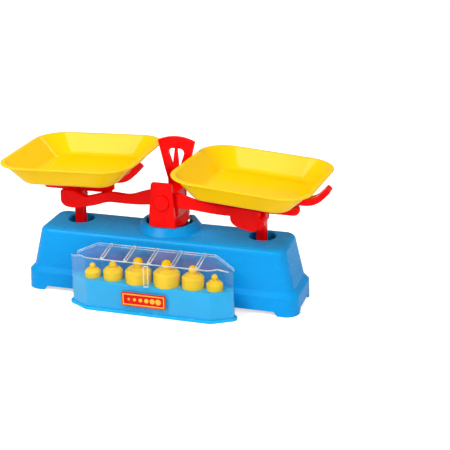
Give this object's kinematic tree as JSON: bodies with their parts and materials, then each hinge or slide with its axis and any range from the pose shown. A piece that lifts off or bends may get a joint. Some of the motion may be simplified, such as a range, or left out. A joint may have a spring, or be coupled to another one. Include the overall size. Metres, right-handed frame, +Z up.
{
  "type": "toy balance scale",
  "caption": "Toy balance: arched beam on a column, lift-off trays on level cradles, needle in a window, hollow base, clear-lidded box of weights.",
  "frame": {"origin": "bottom centre of the bounding box of the whole, on the floor", "axes": "+Z up, +X along the beam to the right seen from the front, +Y to the back; the weight box stands in front, at -Y"},
  "size_m": [0.2986, 0.1294, 0.1386],
  "materials": {
    "housing_blue": "gloss",
    "tray_blue": "gloss",
    "mech_red": "gloss",
    "pan_yellow": "gloss",
    "clear_plastic": "clear, gloss",
    "label_red": "satin"
  },
  "bodies": {
    "base": {"base_housing": "housing_blue", "column": "mech_red", "column_key": "mech_red", "pointer_window": "mech_red", "lower_pivot_pin": "mech_red"},
    "beam_group": {"beam": "mech_red", "beam_pivot_pin": "mech_red", "pivot_cap": "mech_red", "pointer_needle": "mech_red", "left_end_pin": "mech_red", "right_end_pin": "mech_red"},
    "link_group": {"lower_link": "mech_red"},
    "tray_group": {"weight_tray": "tray_blue"},
    "cover_group": {"weight_cover": "clear_plastic", "label_plate": "label_red"},
    "left_carrier": {"left_stem": "mech_red", "left_cradle": "mech_red", "left_lower_pin": "mech_red"},
    "left_pan_group": {"left_pan": "pan_yellow"},
    "right_carrier": {"right_stem": "mech_red", "right_cradle": "mech_red", "right_lower_pin": "mech_red"},
    "right_pan_group": {"right_pan": "pan_yellow"},
    "weight_1_body": {"weight_1": "pan_yellow"},
    "weight_2_body": {"weight_2": "pan_yellow"},
    "weight_3_body": {"weight_3": "pan_yellow"},
    "weight_4_body": {"weight_4": "pan_yellow"},
    "weight_5_body": {"weight_5": "pan_yellow"},
    "weight_6_body": {"weight_6": "pan_yellow"}
  },
  "joints": [
    {"name": "beam_swing", "type": "hinge", "parent": "base", "child": "beam_group", "pos_m": [0.00036, 0.00557, 0.09], "axis": [0, 1, 0], "range_deg": [-7.9, 4.1]},
    {"name": "link_swing", "type": "hinge", "parent": "base", "child": "link_group", "pos_m": [0.00036, 0.00557, 0.034], "axis": [0, 1, 0], "range_deg": [-7.9, 4.1]},
    {"name": "left_carrier_level", "type": "hinge", "parent": "beam_group", "child": "left_carrier", "pos_m": [-0.08745, 0.00557, 0.08191], "axis": [0, 1, 0], "range_deg": [-4.1, 7.9]},
    {"name": "left_pan_lift", "type": "slide", "parent": "left_carrier", "child": "left_pan_group", "axis": [0, 0, 1], "range_m": [0, 0.04]},
    {"name": "right_carrier_level", "type": "hinge", "parent": "beam_group", "child": "right_carrier", "pos_m": [0.08745, 0.00557, 0.07611], "axis": [0, 1, 0], "range_deg": [-4.1, 7.9]},
    {"name": "right_pan_lift", "type": "slide", "parent": "right_carrier", "child": "right_pan_group", "axis": [0, 0, 1], "range_m": [0, 0.04]},
    {"name": "box_slide", "type": "slide", "parent": "base", "child": "tray_group", "axis": [0, -1, 0], "range_m": [0, 0.08]},
    {"name": "cover_lift", "type": "slide", "parent": "tray_group", "child": "cover_group", "axis": [0, 0, 1], "range_m": [0, 0.048]},
    {"name": "weight_1_lift", "type": "slide", "parent": "tray_group", "child": "weight_1_body", "axis": [0, 0, 1], "range_m": [0, 0.024]},
    {"name": "weight_2_lift", "type": "slide", "parent": "tray_group", "child": "weight_2_body", "axis": [0, 0, 1], "range_m": [0, 0.024]},
    {"name": "weight_3_lift", "type": "slide", "parent": "tray_group", "child": "weight_3_body", "axis": [0, 0, 1], "range_m": [0, 0.024]},
    {"name": "weight_4_lift", "type": "slide", "parent": "tray_group", "child": "weight_4_body", "axis": [0, 0, 1], "range_m": [0, 0.024]},
    {"name": "weight_5_lift", "type": "slide", "parent": "tray_group", "child": "weight_5_body", "axis": [0, 0, 1], "range_m": [0, 0.024]},
    {"name": "weight_6_lift", "type": "slide", "parent": "tray_group", "child": "weight_6_body", "axis": [0, 0, 1], "range_m": [0, 0.024]}
  ],
  "couplings": [
    {"joint": "link_swing", "follows": "beam_swing", "ratio": 1},
    {"joint": "left_carrier_level", "follows": "beam_swing", "ratio": -1},
    {"joint": "right_carrier_level", "follows": "beam_swing", "ratio": -1},
    {"joint": "weight_1_lift", "follows": "cover_lift", "ratio": 0.5},
    {"joint": "weight_2_lift", "follows": "cover_lift", "ratio": 0.5},
    {"joint": "weight_3_lift", "follows": "cover_lift", "ratio": 0.5},
    {"joint": "weight_4_lift", "follows": "cover_lift", "ratio": 0.5},
    {"joint": "weight_5_lift", "follows": "cover_lift", "ratio": 0.5},
    {"joint": "weight_6_lift", "follows": "cover_lift", "ratio": 0.5}
  ]
}
